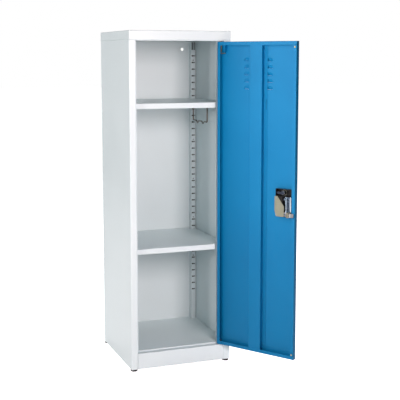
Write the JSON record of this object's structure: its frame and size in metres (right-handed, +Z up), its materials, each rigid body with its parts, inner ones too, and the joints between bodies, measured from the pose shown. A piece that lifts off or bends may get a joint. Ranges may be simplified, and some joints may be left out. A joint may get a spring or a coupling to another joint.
{
  "type": "locker cabinet",
  "caption": "Upright single-door sheet steel locker with two shelves on perforated uprights, hanging rods and a blue pan door with a recessed paddle latch.",
  "frame": {"origin": "on the floor, under the centre of the cabinet's 380 x 380 mm footprint, at the level of the feet's undersides", "axes": "+Z up, -Y out of the door opening, +Y out of the back, +X to the hinge side (the right-hand side seen from the front)"},
  "size_m": [0.5246, 0.6542, 1.22],
  "materials": {
    "carcass_paint": "semi-gloss light grey powder coat",
    "door_paint": "gloss blue powder coat",
    "chrome": "bright chrome plate",
    "zinc_plate": "warm zinc plate",
    "bright_steel": "bright steel",
    "spring_steel": "drawn spring steel",
    "brass": "turned brass",
    "foot_rubber": "black moulded",
    "bumper_rubber": "amber, slightly translucent",
    "card": "blank white card"
  },
  "bodies": {
    "cabinet": {"side_panel_left": "carcass_paint", "side_panel_right": "carcass_paint", "back_panel": "carcass_paint", "top_cap": "carcass_paint", "header_rail": "carcass_paint", "plinth": "carcass_paint", "floor_pan": "carcass_paint", "rear_base_rail": "carcass_paint", "corner_feet": "foot_rubber", "rear_upright_left": "carcass_paint", "rear_upright_right": "carcass_paint", "front_upright_left": "carcass_paint", "front_upright_right": "carcass_paint", "upper_shelf": "carcass_paint", "middle_shelf": "carcass_paint", "upper_shelf_clips": "zinc_plate", "middle_shelf_clips": "zinc_plate", "hanging_rod_left": "chrome", "hanging_rod_right": "chrome", "bottom_hinge_plate": "zinc_plate", "bottom_hinge_pin": "bright_steel", "strike_plate": "zinc_plate"},
    "door": {"door_skin": "door_paint", "door_stiffener": "door_paint", "door_bumpers": "bumper_rubber", "card_holder": "door_paint", "blank_card": "card", "top_hinge_bracket": "door_paint", "top_pin_spring": "spring_steel", "bottom_hinge_bush": "brass", "lock_housing": "chrome", "paddle_pivot_pin": "bright_steel", "bolt_guide": "chrome", "bolt_spring": "spring_steel", "finger_plate": "zinc_plate", "finger_plate_screws": "bright_steel", "key_barrel": "chrome", "key_barrel_nut": "bright_steel"},
    "top_pin": {"top_hinge_pin": "bright_steel"},
    "paddle": {"paddle_handle": "chrome"},
    "latch": {"latch_bolt": "chrome"},
    "key": {"key_plug": "chrome", "key_cam": "bright_steel"}
  },
  "joints": [
    {"name": "door_hinge", "type": "hinge", "parent": "cabinet", "child": "door", "pos_m": [0.156, -0.185, 0.625], "axis": [0, 0, 1], "range_deg": [-123, 0]},
    {"name": "top_pin_slide", "type": "slide", "parent": "door", "child": "top_pin", "axis": [0, 0, 1], "range_m": [-0.006, 0], "stiffness_N_per_m": 400, "springref_m": 0.01, "deforming": ["top_pin_spring"]},
    {"name": "paddle_hinge", "type": "hinge", "parent": "door", "child": "paddle", "pos_m": [0.30712, -0.41953, 0.614], "axis": [0, 0, -1], "range_deg": [0, 35]},
    {"name": "bolt_slide", "type": "slide", "parent": "door", "child": "latch", "axis": [-0.5446, 0.8387, 0], "range_m": [0, 0.006], "deforming": ["bolt_spring"]},
    {"name": "key_turn", "type": "hinge", "parent": "door", "child": "key", "pos_m": [0.30779, -0.40956, 0.659], "axis": [-0.8387, -0.5446, 0], "range_deg": [0, 90]}
  ],
  "couplings": [
    {"joint": "bolt_slide", "follows": "paddle_hinge", "m_per_rad": 0.00982}
  ]
}
